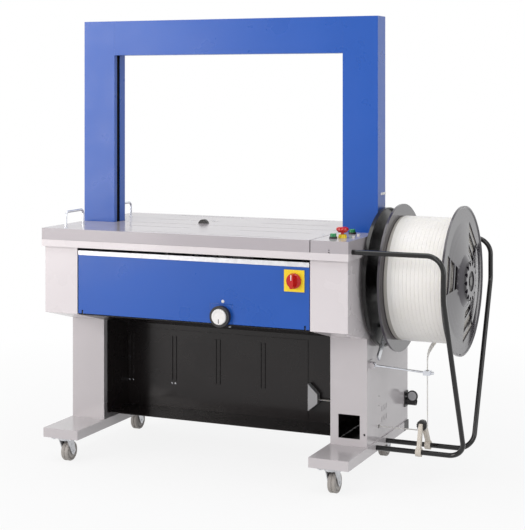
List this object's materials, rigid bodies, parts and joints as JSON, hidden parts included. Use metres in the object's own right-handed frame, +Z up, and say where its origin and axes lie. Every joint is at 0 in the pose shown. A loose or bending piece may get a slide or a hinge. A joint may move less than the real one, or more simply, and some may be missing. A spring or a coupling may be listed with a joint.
{
  "type": "arch strapping machine",
  "caption": "Free-standing automatic strapping machine for parcels: an arch over a table, a cabinet on castored T legs, a strap reel.",
  "frame": {"origin": "on the floor, under the middle of the machine's box", "axes": "+Z up, +X from the arch towards the strap reel, -Y towards the operator and the front door"},
  "size_m": [1.389, 0.6442, 1.489],
  "materials": {
    "blue_paint": "gloss",
    "light_paint": "gloss",
    "grey_paint": "satin",
    "dark_paint": "satin",
    "black_paint": "gloss",
    "zinc": "satin",
    "chrome": "polished",
    "beige_cast": "matte",
    "black_plastic": "matte",
    "red_plastic": "gloss",
    "yellow_plastic": "gloss",
    "green_plastic": "gloss",
    "white_plastic": "gloss",
    "strap_plastic": "gloss",
    "grey_plastic": "matte",
    "wheel_rubber": "matte",
    "dark_flange": "gloss"
  },
  "bodies": {
    "machine": {"left_leg": "grey_paint", "right_leg": "grey_paint", "left_housing": "light_paint", "right_housing": "light_paint", "rear_panel": "light_paint", "floor_pan": "grey_paint", "table_rail": "light_paint", "table_end": "light_paint", "arch_frame": "blue_paint", "arch_cover_left": "blue_paint", "arch_cover_right": "blue_paint", "arch_cover_top": "blue_paint", "strap_track": "black_plastic", "accumulator_box": "dark_paint", "accumulator_cover": "dark_paint", "inlet_guide": "grey_plastic", "reel_bracket": "black_paint", "reel_guard": "black_paint", "roller_bracket": "beige_cast", "strap_run": "strap_plastic", "estop_collar": "yellow_plastic", "button_rings": "black_plastic", "panel_lamps": "white_plastic", "dial_bezel": "black_plastic", "head_frame": "zinc", "gear_motors": "dark_paint", "control_box": "grey_plastic", "castor_plates": "zinc", "hinge_pins": "zinc"},
    "front_lid": {"front_lid": "light_paint", "front_bow": "chrome"},
    "rear_lid": {"rear_lid": "light_paint", "rear_bow": "chrome", "parcel_stop": "black_plastic"},
    "door": {"front_door": "blue_paint", "door_grip": "zinc", "switch_plate": "yellow_plastic"},
    "main_switch": {"switch_knob": "red_plastic"},
    "dial": {"tension_dial": "white_plastic"},
    "estop": {"estop_head": "red_plastic"},
    "front_button": {"button_front": "green_plastic"},
    "rear_button": {"button_rear": "green_plastic"},
    "reel": {"reel_core": "black_plastic", "flange_inner": "dark_flange", "flange_outer": "dark_flange", "strap_coil": "strap_plastic"},
    "roller": {"strap_roller": "grey_plastic"},
    "lever": {"brake_lever": "chrome"},
    "cam": {"cam_shaft": "zinc"},
    "platen": {"press_platen": "zinc"},
    "feed": {"feed_roller": "zinc"},
    "pinch": {"pinch_roller": "zinc"},
    "swivel_front_left": {"fork_front_left": "zinc"},
    "wheel_front_left": {"wheel_front_left": "wheel_rubber"},
    "swivel_front_right": {"fork_front_right": "zinc"},
    "wheel_front_right": {"wheel_front_right": "wheel_rubber"},
    "swivel_rear_left": {"fork_rear_left": "zinc"},
    "wheel_rear_left": {"wheel_rear_left": "wheel_rubber"},
    "swivel_rear_right": {"fork_rear_right": "zinc"},
    "wheel_rear_right": {"wheel_rear_right": "wheel_rubber"}
  },
  "joints": [
    {"name": "front_lid_hinge", "type": "hinge", "parent": "machine", "child": "front_lid", "pos_m": [0.2675, -0.15285, 0.782], "axis": [0, 1, 0], "range_deg": [0, 40]},
    {"name": "rear_lid_hinge", "type": "hinge", "parent": "machine", "child": "rear_lid", "pos_m": [0.2675, 0.16715, 0.782], "axis": [0, 1, 0], "range_deg": [0, 40]},
    {"name": "door_hinge", "type": "hinge", "parent": "machine", "child": "door", "pos_m": [-0.1485, -0.28785, 0.513], "axis": [1, 0, 0], "range_deg": [0, 80]},
    {"name": "switch_turn", "type": "hinge", "parent": "door", "child": "main_switch", "pos_m": [0.2145, -0.29615, 0.657], "axis": [0, 1, 0], "range_deg": [0, 90]},
    {"name": "dial_turn", "type": "hinge", "parent": "machine", "child": "dial", "pos_m": [-0.0365, -0.29515, 0.531], "axis": [0, 1, 0], "range_deg": [-135, 135]},
    {"name": "estop_press", "type": "slide", "parent": "machine", "child": "estop", "axis": [0, 0, -1], "range_m": [0, 0.005]},
    {"name": "front_button_press", "type": "slide", "parent": "machine", "child": "front_button", "axis": [0, 0, -1], "range_m": [0, 0.003], "stiffness_N_per_m": 400, "springref_m": -0.002},
    {"name": "rear_button_press", "type": "slide", "parent": "machine", "child": "rear_button", "axis": [0, 0, -1], "range_m": [0, 0.003], "stiffness_N_per_m": 400, "springref_m": -0.002},
    {"name": "reel_spin", "type": "hinge", "parent": "machine", "child": "reel", "pos_m": [0.5625, 0.02215, 0.642], "axis": [1, 0, 0], "continuous": true},
    {"name": "roller_spin", "type": "hinge", "parent": "machine", "child": "roller", "pos_m": [0.5375, -0.00185, 0.176], "axis": [0, 1, 0], "continuous": true},
    {"name": "lever_swing", "type": "hinge", "parent": "machine", "child": "lever", "pos_m": [0.4055, -0.09285, 0.374], "axis": [0, -1, 0], "range_deg": [0, 8]},
    {"name": "swivel_front_left", "type": "hinge", "parent": "machine", "child": "swivel_front_left", "pos_m": [-0.6265, -0.26685, 0.08], "axis": [0, 0, 1], "continuous": true},
    {"name": "roll_front_left", "type": "hinge", "parent": "swivel_front_left", "child": "wheel_front_left", "pos_m": [-0.6265, -0.24485, 0.0325], "axis": [1, 0, 0], "continuous": true},
    {"name": "swivel_front_right", "type": "hinge", "parent": "machine", "child": "swivel_front_right", "pos_m": [0.3295, -0.26685, 0.08], "axis": [0, 0, 1], "continuous": true},
    {"name": "roll_front_right", "type": "hinge", "parent": "swivel_front_right", "child": "wheel_front_right", "pos_m": [0.3295, -0.24485, 0.0325], "axis": [1, 0, 0], "continuous": true},
    {"name": "swivel_rear_left", "type": "hinge", "parent": "machine", "child": "swivel_rear_left", "pos_m": [-0.6265, 0.21515, 0.08], "axis": [0, 0, 1], "continuous": true},
    {"name": "roll_rear_left", "type": "hinge", "parent": "swivel_rear_left", "child": "wheel_rear_left", "pos_m": [-0.6265, 0.23715, 0.0325], "axis": [1, 0, 0], "continuous": true},
    {"name": "swivel_rear_right", "type": "hinge", "parent": "machine", "child": "swivel_rear_right", "pos_m": [0.3295, 0.21515, 0.08], "axis": [0, 0, 1], "continuous": true},
    {"name": "roll_rear_right", "type": "hinge", "parent": "swivel_rear_right", "child": "wheel_rear_right", "pos_m": [0.3295, 0.23715, 0.0325], "axis": [1, 0, 0], "continuous": true},
    {"name": "cam_spin", "type": "hinge", "parent": "machine", "child": "cam", "pos_m": [-0.2585, -0.00185, 0.6], "axis": [1, 0, 0], "continuous": true},
    {"name": "platen_lift", "type": "slide", "parent": "machine", "child": "platen", "axis": [0, 0, 1], "range_m": [0, 0.008]},
    {"name": "feed_spin", "type": "hinge", "parent": "machine", "child": "feed", "pos_m": [-0.1185, -0.00185, 0.64], "axis": [0, 1, 0], "continuous": true},
    {"name": "pinch_spin", "type": "hinge", "parent": "machine", "child": "pinch", "pos_m": [-0.1185, -0.00185, 0.6858], "axis": [0, 1, 0], "continuous": true}
  ],
  "couplings": [
    {"joint": "pinch_spin", "follows": "feed_spin", "ratio": -1.25}
  ]
}
